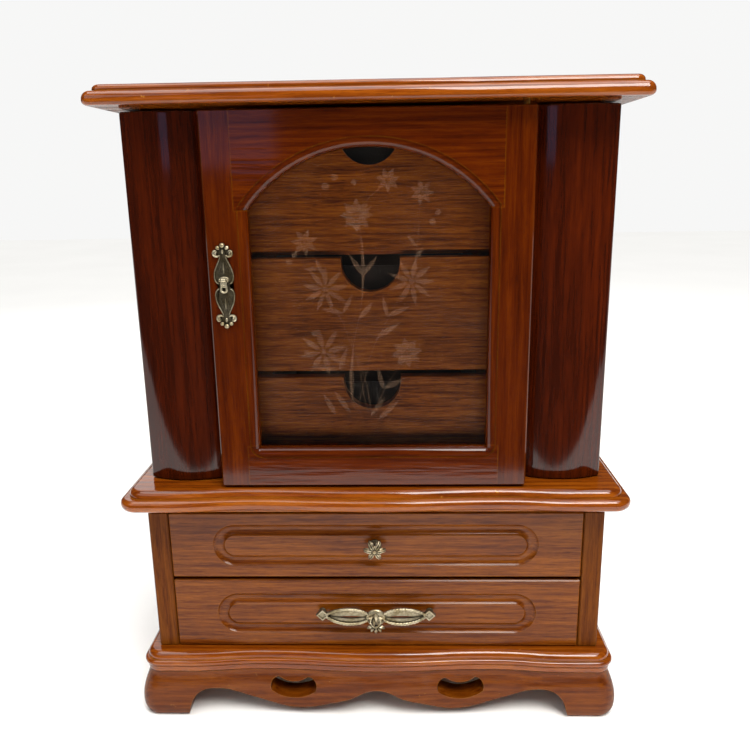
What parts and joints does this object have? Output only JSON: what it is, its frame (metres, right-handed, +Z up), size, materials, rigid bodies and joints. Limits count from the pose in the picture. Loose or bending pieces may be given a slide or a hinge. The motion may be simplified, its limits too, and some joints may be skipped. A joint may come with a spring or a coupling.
{
  "type": "jewelry armoire",
  "caption": "Countertop jewelry armoire with a glazed arched door, inner drawers, swing-out necklace wings and wide base drawers on a scalloped bracket base.",
  "frame": {"origin": "on the floor, at the middle of the armoire's plan box", "axes": "+X to the viewer's right as one faces the door, +Y to the flat back, +Z up"},
  "size_m": [0.3148, 0.19, 0.3965],
  "materials": {
    "mahogany_dark": "glossy lacquered red-brown wood, nearly black in shade",
    "mahogany_red": "glossy lacquered red-brown wood",
    "walnut_brown": "satin lacquered mid-brown wood",
    "walnut_orange": "glossy lacquered orange-brown wood",
    "inner_oak": "satin golden-brown striated wood",
    "carcass_wood": "plain stained wood",
    "drawer_wood": "pale unfinished drawer wood",
    "black_flock": "black flocked lining",
    "antique_brass": "antique brass with dark recesses",
    "brass": "polished brass",
    "steel": "zinc-plated steel",
    "magnet": "dark nickel-plated magnet",
    "door_glass": "clear glass with an etched flower spray"
  },
  "bodies": {
    "case": {"apron_back": "carcass_wood", "apron_front": "walnut_orange", "apron_side_left": "walnut_orange", "apron_side_right": "walnut_orange", "base_back_panel": "carcass_wood", "base_side_left": "walnut_brown", "base_side_right": "walnut_brown", "case_hinge_leaves": "brass", "corner_blocks": "carcass_wood", "dust_shelf": "carcass_wood", "inner_shelves": "carcass_wood", "lid_top": "walnut_orange", "magnet_catches": "magnet", "partition_left": "carcass_wood", "partition_right": "carcass_wood", "plinth_board": "walnut_orange", "sub_top": "carcass_wood", "upper_back_panel": "carcass_wood", "waist_ledge": "walnut_orange"},
    "door": {"door_stile_left": "mahogany_red", "door_stile_right": "mahogany_red", "door_top_rail": "mahogany_red", "door_bottom_rail": "mahogany_red", "door_glass": "door_glass", "door_glass_stop": "carcass_wood", "door_pivot_pins": "brass", "door_strike": "steel", "latch_plate": "antique_brass"},
    "drop_pull": {"drop_pull": "antique_brass"},
    "drawer_upper": {"drawer_upper_front": "walnut_brown", "drawer_upper_box": "drawer_wood", "drawer_upper_lining": "black_flock", "flower_knob": "antique_brass", "knob_screw": "steel"},
    "drawer_lower": {"drawer_lower_front": "walnut_brown", "drawer_lower_box": "drawer_wood", "drawer_lower_lining": "black_flock", "leaf_pull": "antique_brass", "pull_screws": "steel"},
    "wing_left": {"wing_column_left": "mahogany_dark", "wing_side_left": "mahogany_dark", "necklace_rail_left": "carcass_wood", "necklace_hooks_left": "brass", "wing_hinge_leaves_left": "brass", "wing_strike_left": "steel"},
    "wing_right": {"wing_column_right": "mahogany_dark", "wing_side_right": "mahogany_dark", "necklace_rail_right": "carcass_wood", "necklace_hooks_right": "brass", "wing_hinge_leaves_right": "brass", "wing_strike_right": "steel"},
    "inner_drawer_top": {"inner_drawer_top_front": "inner_oak", "inner_drawer_top_box": "drawer_wood", "inner_drawer_top_lining": "black_flock"},
    "inner_drawer_middle": {"inner_drawer_middle_front": "inner_oak", "inner_drawer_middle_box": "drawer_wood", "inner_drawer_middle_lining": "black_flock"},
    "inner_drawer_bottom": {"inner_drawer_bottom_front": "inner_oak", "inner_drawer_bottom_box": "drawer_wood", "inner_drawer_bottom_lining": "black_flock"}
  },
  "joints": [
    {"name": "door_hinge", "type": "hinge", "parent": "case", "child": "door", "pos_m": [0.0868, -0.074, 0.1632], "axis": [0, 0, 1], "range_deg": [0, 110]},
    {"name": "drop_pull_hinge", "type": "hinge", "parent": "door", "child": "drop_pull", "pos_m": [-0.0825, -0.0838, 0.2912], "axis": [-1, 0, 0], "range_deg": [0, 75]},
    {"name": "wing_left_hinge", "type": "hinge", "parent": "case", "child": "wing_left", "pos_m": [-0.1425, 0.0862, 0.1642], "axis": [0, 0, -1], "range_deg": [0, 95]},
    {"name": "wing_right_hinge", "type": "hinge", "parent": "case", "child": "wing_right", "pos_m": [0.1425, 0.0862, 0.1642], "axis": [0, 0, 1], "range_deg": [0, 95]},
    {"name": "drawer_upper_slide", "type": "slide", "parent": "case", "child": "drawer_upper", "axis": [0, -1, 0], "range_m": [0, 0.12]},
    {"name": "drawer_lower_slide", "type": "slide", "parent": "case", "child": "drawer_lower", "axis": [0, -1, 0], "range_m": [0, 0.12]},
    {"name": "inner_drawer_top_slide", "type": "slide", "parent": "case", "child": "inner_drawer_top", "axis": [0, -1, 0], "range_m": [0, 0.04229]},
    {"name": "inner_drawer_middle_slide", "type": "slide", "parent": "case", "child": "inner_drawer_middle", "axis": [0, -1, 0], "range_m": [0, 0.04229]},
    {"name": "inner_drawer_bottom_slide", "type": "slide", "parent": "case", "child": "inner_drawer_bottom", "axis": [0, -1, 0], "range_m": [0, 0.04229]}
  ],
  "couplings": [
    {"joint": "inner_drawer_top_slide", "follows": "door_hinge", "m_per_rad": 0.022},
    {"joint": "inner_drawer_middle_slide", "follows": "door_hinge", "m_per_rad": 0.022},
    {"joint": "inner_drawer_bottom_slide", "follows": "door_hinge", "m_per_rad": 0.022}
  ]
}
